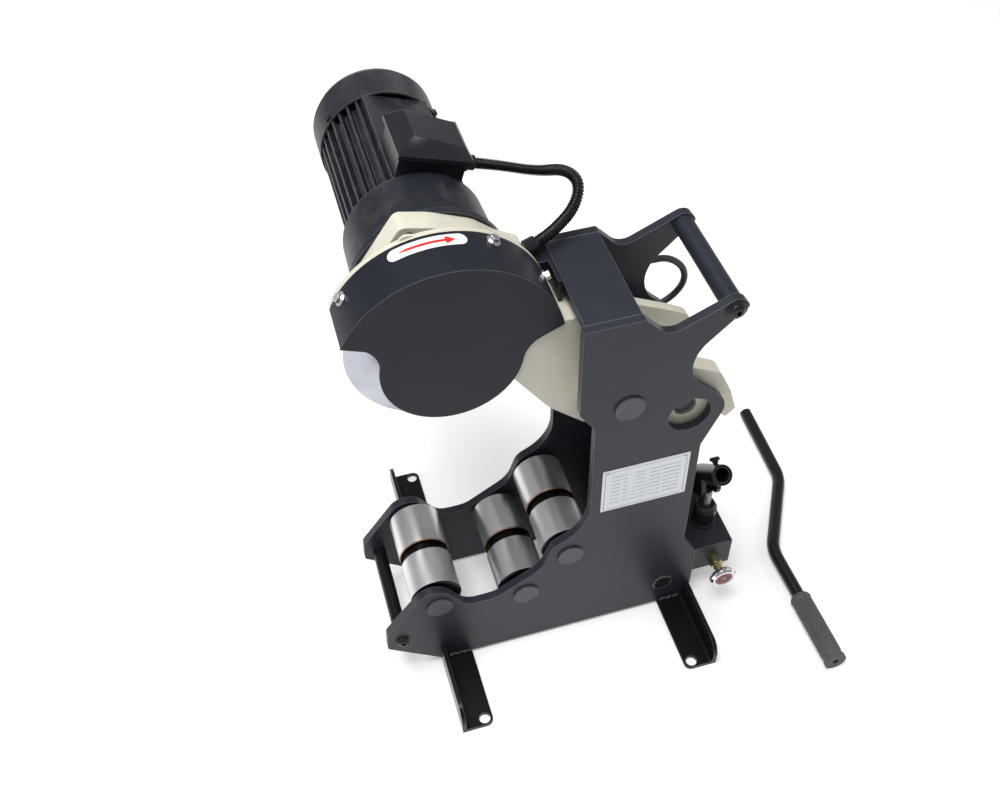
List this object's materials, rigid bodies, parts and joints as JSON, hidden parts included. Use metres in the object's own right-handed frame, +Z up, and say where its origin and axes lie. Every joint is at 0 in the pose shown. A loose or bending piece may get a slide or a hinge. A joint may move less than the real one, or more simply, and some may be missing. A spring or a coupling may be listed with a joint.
{
  "type": "pipe cutting machine",
  "caption": "Bench pipe cutter: side-plate frame with support rollers, tilting motor head with guarded cutter wheel, hand-pump ram and loose lever.",
  "frame": {"origin": "centre of the four foot bolt holes, on the floor plane", "axes": "+Z up; +X from the nose roller to the hand pump; +Y from the front side plate to the motor"},
  "size_m": [0.6159, 0.5943, 0.6348],
  "materials": {
    "black_frame_paint": "satin powder coat",
    "black_fastener": "black oxide",
    "dark_pin_steel": "satin black oxide, turned face",
    "data_plate_aluminium": "matt silver, faint printed lines",
    "black_hydraulic_paint": "semi-gloss black",
    "yellow_zinc": "yellow passivated zinc",
    "black_cable_rubber": "satin",
    "ivory_casting_paint": "ivory enamel over sand casting",
    "bronze_bush": "bronze",
    "black_guard_paint": "satin powder coat",
    "bright_zinc": "bright zinc plate",
    "black_motor_paint": "satin black",
    "winding_copper": "varnished copper",
    "gloss_black_plastic": "gloss",
    "conduit_plastic": "gloss, corrugated",
    "bearing_steel": "ground",
    "wheel_steel": "ground",
    "machined_steel": "machined",
    "fan_plastic": "moulded",
    "turned_roller_steel": "turned, satin",
    "chrome_knob": "polished",
    "grip_rubber": "matt, raised hexagons"
  },
  "bodies": {
    "frame": {"front_side_plate": "black_frame_paint", "rear_side_plate": "black_frame_paint", "top_cover": "black_frame_paint", "left_foot": "black_frame_paint", "right_foot": "black_frame_paint", "nose_tie_rod": "black_frame_paint", "nose_tie_screws": "black_fastener", "carry_handle": "black_frame_paint", "carry_handle_screws": "black_fastener", "roller_pins": "dark_pin_steel", "arm_pivot_pin": "dark_pin_steel", "data_plate": "data_plate_aluminium", "data_plate_rivets": "data_plate_aluminium", "pump_block": "black_frame_paint", "pump_barrel": "black_hydraulic_paint", "ram_cylinder": "black_hydraulic_paint", "pump_fulcrum": "black_hydraulic_paint", "release_valve": "yellow_zinc", "loop_lead": "black_cable_rubber", "lead_glands": "black_cable_rubber"},
    "arm": {"arm_casting": "ivory_casting_paint", "pivot_bush": "bronze_bush", "tail_pin": "dark_pin_steel", "guard_cover": "black_guard_paint", "guard_bolts": "bright_zinc", "bracket_block": "black_hydraulic_paint", "motor_bell": "black_motor_paint", "motor_housing": "black_motor_paint", "stator": "winding_copper", "fan_cowl": "black_motor_paint", "cowl_screws": "black_fastener", "terminal_box": "gloss_black_plastic", "terminal_lid": "gloss_black_plastic", "conduit": "conduit_plastic", "conduit_glands": "gloss_black_plastic", "drive_bearings": "bearing_steel"},
    "cutter": {"cutter_shaft": "machined_steel", "cutter_wheel": "wheel_steel", "cutter_nut": "machined_steel", "ring_gear": "machined_steel"},
    "rotor": {"rotor_shaft": "machined_steel", "rotor_core": "machined_steel", "drive_pinion": "machined_steel", "cooling_fan": "fan_plastic"},
    "nose_roller_body": {"nose_roller": "turned_roller_steel", "nose_roller_bearings": "bearing_steel"},
    "low_roller_body": {"low_roller": "turned_roller_steel", "low_roller_bearings": "bearing_steel"},
    "back_roller_body": {"back_roller": "turned_roller_steel", "back_roller_bearings": "bearing_steel"},
    "ram": {"ram_rod": "machined_steel", "ram_pad": "machined_steel", "ram_spring": "machined_steel"},
    "plunger": {"pump_plunger": "machined_steel"},
    "socket": {"lever_socket": "black_hydraulic_paint"},
    "thumb_screw": {"socket_thumb_screw": "black_fastener"},
    "knob": {"release_knob": "chrome_knob"},
    "lever": {"lever_rod": "black_hydraulic_paint", "lever_grip": "grip_rubber"}
  },
  "joints": [
    {"name": "arm_tilt", "type": "hinge", "parent": "frame", "child": "arm", "pos_m": [0.0608, -0.025, 0.4149], "axis": [0, -1, 0], "range_deg": [0, 60], "stiffness_Nm_per_rad": 30, "springref_deg": -114.59},
    {"name": "cutter_spin", "type": "hinge", "parent": "arm", "child": "cutter", "pos_m": [-0.119, -0.027, 0.4978], "axis": [0, -1, 0], "continuous": true},
    {"name": "rotor_spin", "type": "hinge", "parent": "arm", "child": "rotor", "pos_m": [-0.1134, 0.2, 0.5242], "axis": [0, -1, 0], "continuous": true},
    {"name": "nose_roller_spin", "type": "hinge", "parent": "frame", "child": "nose_roller_body", "pos_m": [-0.1632, -0.025, 0.1264], "axis": [0, -1, 0], "continuous": true},
    {"name": "low_roller_spin", "type": "hinge", "parent": "frame", "child": "low_roller_body", "pos_m": [-0.0541, -0.025, 0.1067], "axis": [0, -1, 0], "continuous": true},
    {"name": "back_roller_spin", "type": "hinge", "parent": "frame", "child": "back_roller_body", "pos_m": [0.0017, -0.025, 0.1663], "axis": [0, -1, 0], "continuous": true},
    {"name": "ram_slide", "type": "slide", "parent": "frame", "child": "ram", "axis": [0, 0, 1], "range_m": [0, 0.0805], "deforming": ["ram_spring"]},
    {"name": "pump_stroke", "type": "hinge", "parent": "frame", "child": "socket", "pos_m": [0.205, -0.014, 0.134], "axis": [1, 0, 0], "range_deg": [-7, 30]},
    {"name": "plunger_slide", "type": "slide", "parent": "frame", "child": "plunger", "axis": [0, 0, -1], "range_m": [-0.0045, 0.0182]},
    {"name": "thumb_screw_turn", "type": "hinge", "parent": "socket", "child": "thumb_screw", "pos_m": [0.205, -0.06381, 0.20243], "axis": [0, 0.7547, 0.6561], "range_deg": [0, 360]},
    {"name": "valve_knob_turn", "type": "hinge", "parent": "frame", "child": "knob", "pos_m": [0.206, -0.11, 0.058], "axis": [0, -1, 0], "range_deg": [0, 360]},
    {"name": "lever_lift", "type": "slide", "parent": "frame", "child": "lever", "axis": [0, 0, 1], "range_m": [0, 0.3]}
  ],
  "couplings": [
    {"joint": "ram_slide", "follows": "arm_tilt", "m_per_rad": 0.0762},
    {"joint": "rotor_spin", "follows": "cutter_spin", "ratio": 3.25},
    {"joint": "plunger_slide", "follows": "pump_stroke", "m_per_rad": 0.034}
  ]
}
